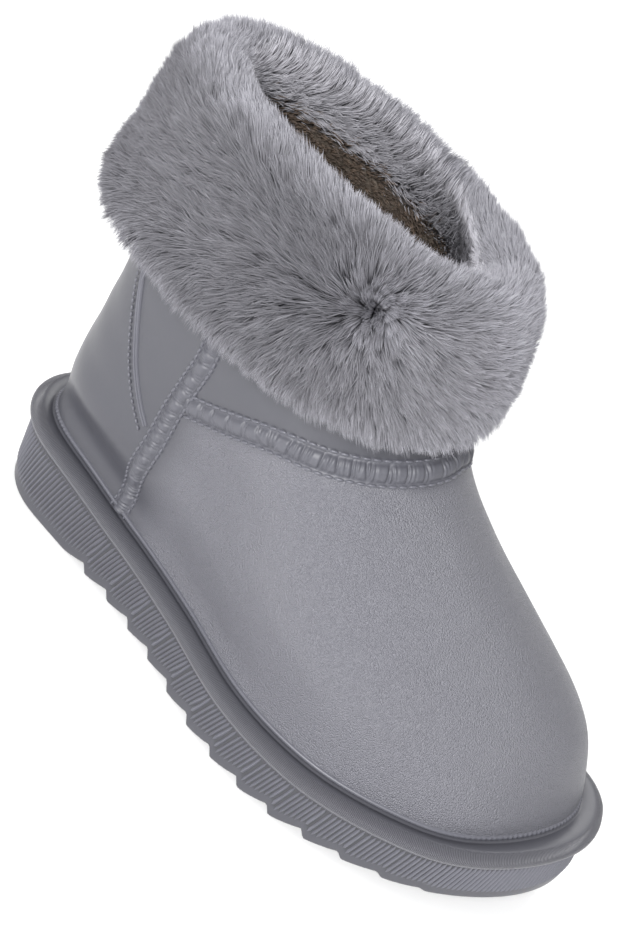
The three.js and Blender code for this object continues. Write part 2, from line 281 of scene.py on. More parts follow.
class Shade:
    # one material: every node comes from node()

    def __init__(self, name):
        self.material = bpy.data.materials.new(name)
        self.material.use_nodes = True
        self.tree = self.material.node_tree
        self.shader = self.tree.nodes["Principled BSDF"]

    def node(self, kind, settings=None, values=None, out=0):
        made = self.tree.nodes.new(kind)
        for key, value in (settings or {}).items():
            setattr(made, key, value)
        for key, value in (values or {}).items():
            self.plug(made.inputs[key], value)
        return Wire(self, made.outputs[out])

    def plug(self, socket, value):
        if isinstance(value, Wire):
            self.tree.links.new(value.socket, socket)
        else:
            socket.default_value = value

    def set(self, **values):
        for key, value in values.items():
            self.plug(self.shader.inputs[key.replace("_", " ")], value)

    def place(self):
        return self.node("ShaderNodeTexCoord", out="Object")

    def mapAxis(self, name, axis):
        uv = self.node("ShaderNodeUVMap", {"uv_map": name})
        return self.node("ShaderNodeSeparateXYZ", {}, {0: uv}, out=axis)

    def noise(self, scale, detail=2.0, rough=0.5):
        return self.node("ShaderNodeTexNoise", {}, {
            "Vector": self.place(), "Scale": scale, "Detail": detail, "Roughness": rough})

    def attribute(self, name):
        return self.node("ShaderNodeAttribute", {"attribute_name": name}, out="Fac")

    def mix(self, factor, a, b):
        return self.node("ShaderNodeMix", {"data_type": "RGBA"}, {0: factor, 6: a, 7: b}, out=2)

    def bump(self, height, distance, strength=1.0):
        return self.node("ShaderNodeBump", {}, {
            "Height": height, "Distance": distance, "Strength": strength})


def gray(level, tint=(1, 1, 1)):
    return (level * tint[0], level * tint[1], level * tint[2], 1)


floorLook = {"color": (0.95, 0.95, 0.95, 1), "roughness": 0.8, "reach": 12, "glow": 0.04}


def meshFrom(name, bm):
    mesh = bpy.data.meshes.new(name)
    bm.to_mesh(mesh)
    bm.free()
    return mesh


def makeFloor():
    bm = bmesh.new()
    bmesh.ops.create_circle(bm, cap_ends=True, radius=floorLook["reach"], segments=96)
    floor = addObject("floor", meshFrom("floor", bm))
    shade = Shade("paleFloor")
    speckle = shade.noise(40, 3)
    shade.set(Base_Color=shade.mix(speckle * 0.25, floorLook["color"], gray(0.92)),
              Roughness=floorLook["roughness"], Specular_IOR_Level=0.2,
              Emission_Color=(1, 1, 1, 1), Emission_Strength=floorLook["glow"])
    floor.data.materials.append(shade.material)


lights = [
    # name, place and aim in metres, size, power
    ("sideKey", (0.05, -0.82, 0.60), (-0.01, 0, 0.09), 0.34, 11.8),
    ("backTop", (-0.05, 0.45, 0.95), (-0.05, 0, 0.16), 0.5, 3.6),
    ("floorWash", (-0.6, 2.0, 1.2), (-0.6, 1.75, 0), 1.0, 14.0),
]
worldStrength = 0.60


def makeLights():
    for name, at, aim, size, power in lights:
        data = bpy.data.lights.new(name, "AREA")
        data.size, data.energy = size, power
        lamp = addObject(name, data)
        lamp.location = at
        lamp.rotation_euler = (Vector(aim) - Vector(at)).to_track_quat("-Z", "Y").to_euler()
    world = bpy.data.worlds.new("studio")
    world.use_nodes = True
    sky = world.node_tree.nodes["Background"].inputs
    sky["Color"].default_value, sky["Strength"].default_value = (1, 1, 1, 1), worldStrength
    bpy.context.scene.world = world
    bpy.context.scene.view_settings.view_transform = "Standard"


makeFloor()
makeLights()
print("camera, floor and light placed")

foamLook = {
    "dark": (0.063, 0.0635, 0.075),
    "light": (0.077, 0.0775, 0.091),
    "roughness": 0.35,
    "linePaintedLightGain": 1.6,  # raised lines and stitches are painted paler: painted light on what stands proud
    "grainCells": 1900,  # pebbles of the leather grain, to the metre
    "rimLines": 10500,  # turns of the sine that cuts the rim's lines, to the metre
}


def foamBase(name, gain=1.0, matt=0.0):
    # moulded foam rubber: slow cloudy tone, faint dust, small scuffs in the gloss
    shade = Shade(name)
    cloud = shade.noise(9, 3, 0.55)
    dust = shade.noise(420, 4, 0.65)
    tone = (cloud * 0.75 + dust * 0.25).clamp()
    dark, light = (tuple(c * gain for c in foamLook[k]) + (1,) for k in ("dark", "light"))
    shade.set(Roughness=cloud * 0.14 + dust * 0.08 + foamLook["roughness"] - 0.1 + matt,
              Specular_IOR_Level=0.5)
    return shade, dust, shade.mix(tone, dark, light)


def upperMaterial():
    # leather grain on the vamp only: the mould is plain on quarter and shaft; the vamp is also painted
    # paler than the foam, painted light, with painted sparkle on the pebble tops
    shade, dust, color = foamBase("grainedFoamPaintedLight")
    grain = shade.attribute("grain")
    pebbles = shade.node("ShaderNodeTexVoronoi", {"feature": "F1"},
                         {"Vector": shade.place(), "Scale": foamLook["grainCells"]})
    folds = shade.noise(700, 2, 0.5)
    leather = (1 - pebbles + folds * 0.35) * grain
    # painted light: a paler colour on the vamp, palest on the pebble tops as painted sparkle
    paintedLightVamp = shade.mix(1 - pebbles * 0.8, gray(0.128, (1, 1.0, 1.15)), gray(0.160, (1, 1.0, 1.14)))
    shade.set(Base_Color=shade.mix(grain, color, paintedLightVamp),
              Normal=shade.bump(leather + dust * 0.1, 0.00045))
    return shade.material


def soleMaterial():
    # fine lines cut across the rim, from the piece's own map: u runs along the rim
    shade, dust, color = foamBase("soleFoam")
    run = shade.mapAxis("run", 0)
    lines = shade.node("ShaderNodeMath", {"operation": "SINE"}, {0: run * foamLook["rimLines"]})
    onRim = shade.attribute("rim")
    # painted shade: the recessed wall behind the ribs is darkened
    color = shade.mix(shade.attribute("gaps") * 0.6, color, gray(0.04, (1, 1, 1.1)))
    # painted highlight: a pale line along the mould line under the rim
    color = shade.mix(shade.attribute("parting") * 0.8, color, gray(0.24, (1, 0.99, 1.08)))
    # painted light: the rim is painted paler, palest on the crests of its lines where they catch the
    # light
    color = shade.mix((lines * 0.5 + 0.5) * onRim * 0.6, color, gray(0.17, (1, 0.99, 1.12)))
    shade.set(Base_Color=color, Normal=shade.bump(lines * onRim * 0.5 + dust * 0.2, 0.0004, 0.8))
    return shade.material


def plainFoam(name, gain=1.0, matt=0.0):
    shade, dust, color = foamBase(name, gain, matt)
    shade.set(Base_Color=color, Normal=shade.bump(dust, 0.00006, 0.5))
    return shade.material


upperFoam, soleFoam = upperMaterial(), soleMaterial()
# paler copies of the same foam for the bands, raised lines and stitches: painted light on raised parts
seamFoamPaintedLight, lineFoamPaintedLight = plainFoam("seamFoamPaintedLight", 1.3, 0.12), plainFoam("lineFoamPaintedLight", foamLook["linePaintedLightGain"])
# ribs: a paler copy of the same foam, painted light on the rib tops
ribFoamPaintedLight = plainFoam("ribFoamPaintedLight", 1.75)


def meshObject(name, mesh, material, replaced=()):
    made = addObject(name, mesh)
    mesh.materials.append(material)
    mesh.polygons.foreach_set("use_smooth", np.ones(len(mesh.polygons), dtype=bool))
    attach(made, "root")
    if replaced:
        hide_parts(*replaced)
    return made


weld = 0.000002  # metres; points nearer than this are one


def gridMesh(name, columns, rows, place):
    # a flat grid whose points are moved to their places; place takes the angle and row of each and
    # gives the points in millimetres, any numbers that the material reads, and the map's first axis
    bm = bmesh.new()
    bmesh.ops.create_grid(bm, x_segments=columns, y_segments=rows, size=0.5, calc_uvs=False)
    flat = np.array([v.co[:2] for v in bm.verts]) + 0.5
    points, numbers, run = place(flat[:, 0] * tau, np.rint(flat[:, 1] * rows).astype(int))
    points = toFrame(points)
    layers = [(bm.verts.layers.float.new(key), values) for key, values in numbers.items()]
    for i, vert in enumerate(bm.verts):
        vert.co = points[i]
        for layer, values in layers:
            vert[layer] = values[i]
    layer = bm.loops.layers.uv.new("run")
    for face in bm.faces:
        for loop in face.loops:
            loop[layer].uv = (run[loop.vert.index], flat[loop.vert.index, 1])
    bmesh.ops.remove_doubles(bm, verts=bm.verts, dist=weld)
    bmesh.ops.dissolve_degenerate(bm, dist=weld, edges=bm.edges)
    return meshFrom(name, bm)


def polygonMesh(name, points, corners, starts):
    # a mesh straight from arrays; starts says where among the corners each face begins
    mesh = bpy.data.meshes.new(name)
    mesh.vertices.add(len(points))
    mesh.vertices.foreach_set("co", points.reshape(-1))
    mesh.loops.add(len(corners))
    mesh.loops.foreach_set("vertex_index", corners.astype(np.int32))
    mesh.polygons.add(len(starts))
    mesh.polygons.foreach_set("loop_start", starts.astype(np.int32))
    mesh.update(calc_edges=True)
    return mesh


def stampArrays(bm):
    points = np.array([v.co[:] for v in bm.verts])
    faces = np.array([[v.index for v in f.verts] for f in bm.faces])
    bm.free()
    return points, faces


def repeatedMesh(name, points, faces):
    # a stamp's faces repeated: points holds the points of each copy
    copies, size = points.shape[:2]
    corners = (faces[None] + (np.arange(copies) * size)[:, None, None]).reshape(-1)
    starts = np.arange(copies * len(faces)) * faces.shape[1]
    return polygonMesh(name, points.reshape(-1, 3), corners, starts)


def steps(x, low, high):
    # soft step from 0 to 1
    t = np.clip((x - low) / (high - low), 0, 1)
    return t * t * (3 - 2 * t)


# sole: platform, channel, rolled rim, recessed wall with its ribs, and saw-tooth lugs
sole = {
    "columns": 840,
    # platform edge and channel: out from the foot of the upper, and depth below the seat
    "channel": {"out": [-5, 0.4, 0.8, 1.2, 1.6], "depth": [0, 0.0, 0.35, 0.45, 0.2]},
    # broad rim and the parting line under it: offset from the side wall, depth below the seat
    "rim": {"offset": [-1.9, -1.0, 0.0, 0.9, 1.7, 2.4, 2.95, 3.3, 3.45, 3.4, 3.1, 2.6, 1.9, 1.2, 0.9,
                       0.2],
            "depth": [-0.15, -0.1, 0.1, 0.45, 0.9, 1.4, 1.95, 2.6, 3.3, 4.1, 4.85, 5.4, 5.9, 6.3, 6.75,
                      6.9]},
    "parting": 4.1,  # depth of the mould line under the rim, with a painted highlight along it
    "wallRows": 9,
    "edge": {"offset": [0, 0, -0.15, -0.5, -1.1], "rise": [2.2, 1.1, 0.5, 0.15, 0.0]},
    # lugs from the heel on: the first few are full, and those after them grow shallower
    "lugPitch": 14.5, "lugCount": 13, "lugFull": 9, "lugStart": 63.2, "lugDepth": 3.6, "lugInner": 15,
    "lugFade": 0.22, "lugLeast": 0.3, "lugBack": 11.4,
    "notch": {"back": [-11, -8, -4, -0.4, 0.15, 2.5], "height": [0, 0.2, 0.56, 0.97, 1, 0]},
    # ribs: how far each is sunk in the wall, and what is left clear above and below it
    "rib": {"pitch": 1.91, "half": 0.62, "height": 0.95, "sunk": 0.12, "top": 0.03, "foot": 1.4,
            "clear": 1.6},
}


def notchHeight(x):
    # saw teeth: steep towards the heel, running out slowly behind
    n = np.floor((x - sole["lugStart"] + sole["lugBack"]) / sole["lugPitch"])
    n = np.clip(n, 0, sole["lugCount"] - 1)
    back = x - sole["lugStart"] - n * sole["lugPitch"]
    fade = np.clip(1 - (n - sole["lugFull"]) * sole["lugFade"], sole["lugLeast"], 1)
    depth = sole["lugDepth"] * fade
    return depth * np.interp(back, sole["notch"]["back"], sole["notch"]["height"], left=0, right=0)


def soleRows():
    # one entry for each row of the grid: how it is placed and by how much
    rows = [("top", 0, 0), ("top", 0.5, 0)]
    for kind in ("channel", "rim"):
        rows += [(kind, out, -depth) for out, depth in zip(*sole[kind].values())]
    rows += [("wall", (k + 1) / (sole["wallRows"] + 1), 0) for k in range(sole["wallRows"])]
    rows += [("edge", out, rise) for out, rise in zip(*sole["edge"].values())]
    rows += [("lug", k, 0) for k in (0.94, 0.7, 0.4, 0.12, 0.0)]
    rows += [("plain", k, 0) for k in (0.98, 0.5, 0.0)]
    return rows


def wallPoint(angle, share, proud):
    # on the side wall: share 0 under the rim, 1 at the top of the rounded edge
    start = sole["rim"]["offset"][-1]
    x, y = outline(angle, start + (wallFlare(alongOf(angle)) - start) * share + proud)
    ground = treadHeight(x) + notchHeight(x)
    top, foot = seatHeight(x) - sole["rim"]["depth"][-1], ground + sole["edge"]["rise"][0]
    return np.stack([x, y, top + (foot - top) * share], -1)


def placeSole(angle, row):
    points = np.zeros((len(angle), 3))
    rim, gaps, parting = np.zeros((3, len(angle)))
    for k, (kind, amount, rise) in enumerate(soleRows()):
        at = row == k
        a = angle[at]
        share = alongOf(a)
        if kind in ("top", "lug", "plain"):
            x, y = outline(a, sole["channel"]["out"][0] - footInset(share) if kind == "top"
                           else wallFlare(share) + sole["edge"]["offset"][-1])
            half = y - middleLine(x)
            inner = np.minimum(sole["lugInner"], 0.6 * np.abs(half))
            reach = {"top": amount * np.abs(half), "plain": amount * inner,
                     "lug": inner + amount * (np.abs(half) - inner)}[kind]
            y = middleLine(x) + np.sign(half) * reach
            z = seatHeight(x) if kind == "top" else treadHeight(x)
            if kind == "lug":
                z = z + notchHeight(x)
        elif kind == "wall":
            x, y, z = wallPoint(a, amount, 0).T
        else:
            offset = {"channel": amount - footInset(share), "rim": amount,
                      "edge": wallFlare(share) + amount}[kind]
            x, y = outline(a, offset)
            z = treadHeight(x) + notchHeight(x) + rise if kind == "edge" else seatHeight(x) + rise
        points[at] = np.stack([x, y, z], -1)
        rim[at] = 1.0 if kind == "rim" and -0.5 < amount and -5 < rise else 0.0
        # painted shade on the recessed wall behind the ribs
        gaps[at] = 1.0 if kind == "wall" and amount < 0.82 else 0.0
        parting[at] = 1.0 if kind == "rim" and rise == -sole["parting"] else 0.0
    return points, {"rim": rim, "gaps": gaps, "parting": parting}, arcOf(angle) / 1000


def makeArc():
    # arc length along the side wall against the angle, and back
    fine = np.linspace(-0.5, tau + 0.5, 4000)
    run = runOf(np.stack(outline(fine, 0.7), -1))
    run -= np.interp(0, fine, run)
    return (lambda angle: np.interp(angle, fine, run)), (lambda arc: np.interp(arc, run, fine))


arcOf, angleOf = makeArc()
soleMesh = gridMesh("soleForm", sole["columns"], len(soleRows()) - 1, placeSole)
meshObject("soleForm", soleMesh, soleFoam, ["sole"])


def makeRibs():
    # leaning half-round ribs with round ends, each bent to the wall
    rib = sole["rib"]
    total = arcOf(tau)
    count = int(round(total / rib["pitch"]))
    bm = bmesh.new()
    bmesh.ops.create_grid(bm, x_segments=4, y_segments=7, size=1, calc_uvs=False)
    flat, faces = stampArrays(bm)
    start = np.arange(count)[:, None] * total / count
    across, up = flat[None, :, 0], flat[None, :, 1]
    ends = np.sqrt(np.maximum(1 - (np.maximum(np.abs(up) - 0.9, 0) / 0.1) ** 2, 0))
    bulge = np.cos(across * np.pi / 2) * ends
    foot = angleOf(start % total)
    tall = wallPoint(foot, 0, 0)[..., 2] - wallPoint(foot, 1, 0)[..., 2] - rib["clear"]
    lean = 0.17 + 0.07 * np.cos(foot) + 0.16 * np.sin(foot) ** 2
    share = rib["top"] + (1 - up) / 2 * (1 - rib["top"] - rib["foot"] / (tall + rib["clear"]))
    angle = angleOf((start + lean * tall * (1 - share) + across * rib["half"] * ends) % total)
    points = toFrame(wallPoint(angle, share, rib["height"] * bulge - rib["sunk"]))
    return repeatedMesh("soleRibs", points, faces)


meshObject("soleRibs", makeRibs(), ribFoamPaintedLight)
print("sole made,", len(soleMesh.polygons), "faces")


# upper: a shell with its inner wall, then what is embossed on it
seams = {
    "sideBand": {"level": [-0.1, 1.6, 2.7, 3.7, 4.6, 5.5, 6.5, 7.6],
                 "angle": [1.00, 1.01, 1.065, 1.126, 1.21, 1.31, 1.40, 1.47], "half": 2.9},
    "instepBand": {"turn": [0, 0.4, 0.7, 1.0, 1.4, 1.78, 1.95],  # turn away from the front
                   "level": [6.72, 6.5, 6.23, 5.88, 5.35, 4.5, 4.12], "half": 3.2},
    "counter": {"level": [2.74, 3.1, 3.8, 4.6, 5.4, 6.2, 7.4],
                "angle": [1.01, 0.955, 0.88, 0.815, 0.745, 0.69, 0.62]},
    "pillow": 1.9,  # how far a band stands proud
    "margin": 2.1,  # raised edge beside the pillow, with the line of stitches on it
    "stitchLine": 1.1,
    "creasePitch": 6.0,
    "ridge": {"half": 0.62, "height": 1.05, "apart": 1.15},
    # pitch of the stitches, and the length, width and height of one
    "sideStitch": (3.1, (2.8, 1.25, 1.35)),
    "instepStitch": (3.6, (3.3, 1.25, 1.35)),
    "counterStitch": (2.4, (2.0, 1.0, 1.2)),
}
sideAngle = curve(seams["sideBand"]["level"], seams["sideBand"]["angle"])
instepLevel = curve(seams["instepBand"]["turn"], seams["instepBand"]["level"])
counterAngle = curve(seams["counter"]["level"], seams["counter"]["angle"])


def besidePath(angle, level, acrossPath):
    # moves each point acrossPath millimetres sideways along the surface, to the path's left
    point, dAngle, dLevel, normal = upperFrame(angle, level)
    left = unit(np.cross(normal, unit(np.gradient(point, axis=0))))
    aa, ll, al = ((a * b).sum(-1) for a, b in ((dAngle, dAngle), (dLevel, dLevel), (dAngle, dLevel)))
    toAngle, toLevel = (left * dAngle).sum(-1), (left * dLevel).sum(-1)
    det = aa * ll - al * al
    return (angle + acrossPath * (ll * toAngle - al * toLevel) / det,
            np.clip(level + acrossPath * (aa * toLevel - al * toAngle) / det, -0.05, topLevel))


def evenPath(angle, level, pitch):
    # the same path again, with its points a pitch apart
    run = runOf(upperPoint(angle, level))
    count = max(int(round(run[-1] / pitch)), 2)
    at = np.linspace(0, run[-1], count + 1)
    return np.interp(at, run, angle), np.interp(at, run, level), at


def upright(angleAt, low, high, count, side):
    level = np.linspace(low, high, count)
    return (angleAt(level) if side > 0 else tau - angleAt(level)), level


def sidePath(side):
    return upright(sideAngle, 0.02, 7.4, 160, side)


def counterPath(side):
    return upright(counterAngle, 2.8, 7.3, 120, side)


instepReach = 1.93  # turn from the front to where the instep band ends, under the side band


def instepPath():
    turn = np.linspace(-instepReach, instepReach, 300)
    return np.pi + turn, instepLevel(np.abs(turn))


def vampShare(angle, level):
    # 1 on the vamp, 0 on quarter and shaft
    turn = np.abs(np.pi - angle)
    below = steps(instepLevel(np.minimum(turn, instepReach)) - level, 0.05, 0.5)
    front = steps(np.pi - sideAngle(np.clip(level, 0, 7.4)) - turn, 0.03, 0.2)
    return below * front


upper = {"columns": 400, "rows": 158, "outer": 128, "inner": 26}


def placeUpper(angle, row):
    # up the outer face, over the collar's edge, down the inner face and back to the first row
    rows, outer = upper["rows"], upper["outer"]
    level = np.where(row <= outer, row / outer, np.clip((rows - 1 - row) / upper["inner"], 0, 1))
    level = np.where(row == rows, 0, level * topLevel)
    point, _, _, normal = upperFrame(angle, level)
    ripple = (np.sin(angle * 7 + level * 1.7) * np.sin(level * 2.9 + angle * 3) * 0.16
              + np.sin(angle * 13 - level * 3.1) * 0.07)
    swell = ripple * steps(level, 0.3, 1.2) * (row <= outer)
    depth = np.where((row > outer + 1) & (row < rows), -last["wall"], swell)
    depth = np.where(row == outer + 1, -last["wall"] / 2, depth)
    points = point + normal * depth[:, None]
    points[row == outer + 1, 2] += 0.8
    footIn = row == rows - 1
    points[footIn] = footRing(angle[footIn], footInset, last["wall"], 0.3)
    # the vamp's mask carries the leather grain in the bump and painted light in the colour
    return points, {"grain": vampShare(angle, level) * (row <= outer)}, arcOf(angle)


upperMesh = gridMesh("upperShell", upper["columns"], upper["rows"], placeUpper)
meshObject("upperShell", upperMesh, upperFoam, ["upper"])


def creases(run, across, seed):
    # soft pillows between narrow gathers; each gather is deeper towards one edge of the band
    own = np.random.default_rng(seed)
    depth = np.zeros(len(run))
    at = own.uniform(0, 3)
    while at < run.max():
        for shiftBy, share in ((0, 1.0), (own.uniform(1.0, 1.4), own.uniform(0.5, 0.9)),
                               (own.uniform(2.2, 2.8), own.uniform(0.1, 0.6))):
            d = run - at - shiftBy - across * own.uniform(-0.5, 0.5)
            edge = 0.75 + 0.3 * np.abs(across) + own.uniform(-0.25, 0.25) * across
            depth -= 1.25 * share * edge * np.exp(-(d / 0.42) ** 2)
            depth += 0.3 * share * edge * np.exp(-((d - 0.9) / 0.4) ** 2)
        at += seams["creasePitch"] * own.uniform(0.75, 1.3)
    return depth


def bandProfile(d, half):
    # height across a band: pillow, narrow groove, low stitched edge that sinks into the upper
    pillow = (seams["pillow"] + 0.12) * np.maximum(1 - (d / half) ** 2, 0) ** 0.62
    edge = 0.50 * np.exp(-((d - half - 1.1) / 0.62) ** 2)
    return pillow + edge - 0.45 * steps(d, half + 1.2, half + seams["margin"]) - 0.02


def pathMesh(name, path, pitch, across, reach, rise):
    # a strip along a path: rise gives its height from the distance to the path and the run
    angle, level, run = evenPath(*path, pitch)

    def place(turn, row):
        column = np.rint(turn / tau * (len(run) - 1)).astype(int)
        points = np.empty((len(turn), 3))
        for k in range(across + 1):
            beside = (k / across * 2 - 1) * reach
            point, _, _, normal = upperFrame(*besidePath(angle, level, beside))
            points[row == k] = (point + normal * rise(beside, run)[:, None])[column[row == k]]
        return points, {}, run[column]
    return gridMesh(name, len(run) - 1, across, place)


def makeBand(name, path, half, seed):
    def rise(beside, run):
        on = steps(half - np.abs(beside), 0.0, 0.9)
        return bandProfile(np.abs(beside), half) + creases(run, beside / half, seed) * on
    mesh = pathMesh(name, path, 0.34, 20, half + seams["margin"], rise)
    meshObject(name, mesh, seamFoamPaintedLight)


def makeRidge(name, path):
    half, height = seams["ridge"]["half"], seams["ridge"]["height"]

    def rise(beside, run):
        return np.full(len(run), height * (1 - (beside / half) ** 2) - 0.25)
    meshObject(name, pathMesh(name, path, 0.8, 6, half, rise), lineFoamPaintedLight)


for side, word in ((1, "outer"), (-1, "inner")):
    makeBand(word + "SideBand", sidePath(side), seams["sideBand"]["half"], 5 + side)
    for k, letter in enumerate("AB"):
        path = besidePath(*counterPath(side), -k * seams["ridge"]["apart"] * side)
        makeRidge(word + "CounterRidge" + letter, path)
makeBand("instepBand", instepPath(), seams["instepBand"]["half"], 11)


def stitchStamp():
    # a short thread lying on the surface, 1 long and 1 wide, half sunk
    bm = bmesh.new()
    bmesh.ops.create_uvsphere(bm, u_segments=8, v_segments=6, radius=0.5)
    bmesh.ops.bisect_plane(bm, geom=bm.verts[:] + bm.edges[:] + bm.faces[:], plane_co=(0, 0, -0.1),
                           plane_no=(0, 0, -1), clear_outer=True)
    bmesh.ops.triangulate(bm, faces=bm.faces)
    bm.verts.index_update()
    return stampArrays(bm)


def stitchCopies(stamp, path, beside, pitch, size):
    # the stamp's points for each stitch of a line beside the path, in metres
    angle, level, _ = evenPath(*besidePath(*path, beside), pitch)
    point, _, _, normal = upperFrame(angle, level)
    along = unit(np.gradient(point, axis=0))
    axes = np.stack([along, np.cross(normal, along), normal], -1) * np.array(size) / 1000
    return np.einsum("nij,vj->nvi", axes, stamp) + toFrame(point + normal * 0.35)[:, None]


def makeStitches():
    # chain-like links pressed into the margins of the bands, and one line beside the counter's
    stamp, faces = stitchStamp()
    copies = []
    for side in (1, -1):
        for beside in (-1, 1):
            reach = beside * (seams["sideBand"]["half"] + seams["stitchLine"])
            copies.append(stitchCopies(stamp, sidePath(side), reach, *seams["sideStitch"]))
        copies.append(stitchCopies(stamp, counterPath(side), 2.7 * side, *seams["counterStitch"]))
    for beside in (-1, 1):
        reach = beside * (seams["instepBand"]["half"] + seams["stitchLine"])
        copies.append(stitchCopies(stamp, instepPath(), reach, *seams["instepStitch"]))
    return repeatedMesh("seamStitches", np.concatenate(copies), faces)


meshObject("seamStitches", makeStitches(), lineFoamPaintedLight)


def footLine():
    # raised line at the foot of the upper, with sunk stitches showing at heel and toe
    columns, rows, stitchPitch = 900, 7, 2.3

    def place(angle, row):
        t = row / rows * 2 - 1
        point, _, _, normal = upperFrame(angle, 0.10 + 0.10 * t)
        turn = np.abs(np.pi - angle)
        ends = np.maximum(steps(turn, 2.3, 2.8), steps(-turn, -0.9, -0.4))
        bead = 1 - 0.65 * ends * (0.5 + 0.5 * np.cos(arcOf(angle) * tau / stitchPitch)) ** 2
        rise = 1.15 * np.sqrt(np.maximum(1 - t * t, 0)) * bead - 0.3
        return point + normal * rise[:, None], {}, arcOf(angle)
    return gridMesh("footLine", columns, rows, place)


meshObject("footLine", footLine(), lineFoamPaintedLight)
print("upper made,", len(upperMesh.polygons), "faces")

# fur cuff: a dark pelt folded over the collar, and the pile that stands on it
cuff = {
    # the pile's outer section, from inside the boot over the crest to the flap's lower edge:
    # down the shaft from the collar edge, and out from its outer face
    "down": [31, 32, 24, 8, -10, -19, -20, -13, 1, 14, 24, 31, 29],
    "out":  [-4.5, -9, -13, -14, -12, -5, 4, 14, 20, 21, 18, 10, 3],
    # the pelt under it, point for point
    "rootDown": [30, 29, 23, 8, -4, -9, -9.5, -5, 3, 13, 21, 26, 28],
    "rootOut":  [-4.2, -4.4, -5, -6, -5.6, -3.2, 1.6, 7, 10.5, 11.5, 10, 6, 3],
    # shares of the changes round the collar, point for point
    "crest": [0, 0, 0, 0.2, 0.7, 1, 1, 0.6, 0.2, 0, 0, 0, 0],
    "drop":  [0, 0, 0, 0, 0, 0, 0, 0.05, 0.3, 0.65, 0.9, 1, 1],
    "girth": [0, 0, 0, 0, 0, 0, 0, 0.5, 1, 1, 0.7, 0.3, 0],
    "swell": [0, 0, 0, 0, 0, 0, 0, 0, 0, 0.15, 1, 1.1, 0.3],
    "collarSide": {"down": [27, 12, -1, -1, 12, 30], "out": [0.6, 0.6, 0.6, -3.4, -3.4, -3.4]},
    "columns": 240, "rows": 25,  # of the pelt, without its side towards the collar
    "brownFrom": (0.255, 0.30),  # the short plush of the lining ends here inside
}
cuffTurn = {  # 0 at the heel, 0.25 on the outer side; what each share above is a share of
    "turn":  [0, 0.08, 0.16, 0.25, 0.33, 0.41, 0.5, 0.6, 0.7, 0.8, 0.9, 1],
    "crest": [1, 0, -0.8, 0.5, 0.8, -1, 0, 1, 2, 2.4, 2, 1],
    "drop":  [7, 9, 9, 8, 7, 4, 0, 0, 1.5, 3, 5, 7],
    "girth": [-2, -3, -2, 0, 0, -1, -3.5, -1.5, 0, 0, -1, -2],
    "swell": [3, 7, 2.5, 0, 0, 0, 0, 0, 0, 0, 1, 3],
}
cuffReach = 66.0  # millimetres round the cuff for each radian
fur = {
    "strands": 186000,
    "plushKept": 0.45,  # share of them that stands where the short plush is
    "halfWidth": 0.21,
    "lay": 8.0,  # how far a strand leans over, in millimetres
    "fringe": 3.0,  # longer strands along the flap's lower edge
    "whorl": {"angle": 2.2, "along": 0.67, "calm": 11,
              "extra": 2600, "spread": 3.0},  # where the pile parts, on the outer front
    "clump": 1.9,
    "seed": 7,
    "tones": 200,  # classes of tone (painted shade and random tone), side by side in the map
    "colors": {  # of root and tip; the darker roots are painted shade deep in the pile
        "furPile": ((0.08, 0.078, 0.088), (0.45, 0.446, 0.49)),
        # a paler copy of the pile for inside the collar: painted light where the opening gets little
        # light
        "innerPilePaintedLight": ((0.18, 0.176, 0.19), (0.68, 0.67, 0.725)),
        "plushPile": ((0.050, 0.035, 0.024), (0.30, 0.22, 0.165)),
    },
}


shaftGrid = {"turns": 360, "rows": 90, "lowest": 3.6}


def shaftTable():
    # lines down from the collar: points, normals and distance from the collar edge
    turns, levels = np.meshgrid(np.arange(shaftGrid["turns"] + 1) / shaftGrid["turns"] * tau,
                                np.linspace(topLevel, shaftGrid["lowest"], shaftGrid["rows"]),
                                indexing="ij")
    point, _, _, normal = upperFrame(turns.ravel(), levels.ravel())
    point, normal = point.reshape(*turns.shape, 3), normal.reshape(*turns.shape, 3)
    step = np.linalg.norm(np.diff(point, axis=1), axis=-1)
    return point, normal, np.concatenate([np.zeros((len(turns), 1)), np.cumsum(step, axis=1)], axis=1)


shaft = shaftTable()


def shaftPoint(angle, down, out):
    # beside the shaft: down from the collar edge, out from the outer face
    point, normal, run = shaft
    turn = (angle % tau) / tau * shaftGrid["turns"]
    first = np.minimum(turn.astype(int), shaftGrid["turns"] - 1)
    total = 0
    for row, weight in ((first, 1 - (turn - first)), (first + 1, turn - first)):
        k = np.clip((run[row] <= down[:, None]).sum(1) - 1, 0, shaftGrid["rows"] - 2)
        share = (down - run[row, k]) / (run[row, k + 1] - run[row, k])
        soft = np.clip(share, 0, 1)[:, None]
        spot = point[row, k] + (point[row, k + 1] - point[row, k]) * share[:, None]
        face = unit(normal[row, k] * (1 - soft) + normal[row, k + 1] * soft)
        total = total + (spot + face * out[:, None]) * weight[:, None]
    return total


sectionRun = runOf(np.array([cuff["down"], cuff["out"]], float).T)
sectionLength = sectionRun[-1]
stations = sectionRun / sectionLength
changes = ("crest", "drop", "girth", "swell")
section = {key: curve(stations, cuff[key]) for key in ("down", "out", "rootDown", "rootOut", *changes)}
turnChange = {key: curve(cuffTurn["turn"], cuffTurn[key]) for key in changes}


def cuffPoint(angle, along, pile, hang=0):
    # on the pile's outer face or on the pelt; hang moves the point on down the shaft
    turn = (angle / tau) % 1
    change = {key: section[key](along) * turnChange[key](turn) for key in turnChange}
    down = section["down" if pile else "rootDown"](along) - change["crest"] + change["drop"]
    wider = (change["girth"] + change["swell"]) * (1 if pile else 0.6)
    return shaftPoint(angle, down + hang, section["out" if pile else "rootOut"](along) + wider)


def brownShare(along):
    # the short plush of the lining takes over from the long pile inside
    return 1 - steps(along, *cuff["brownFrom"])


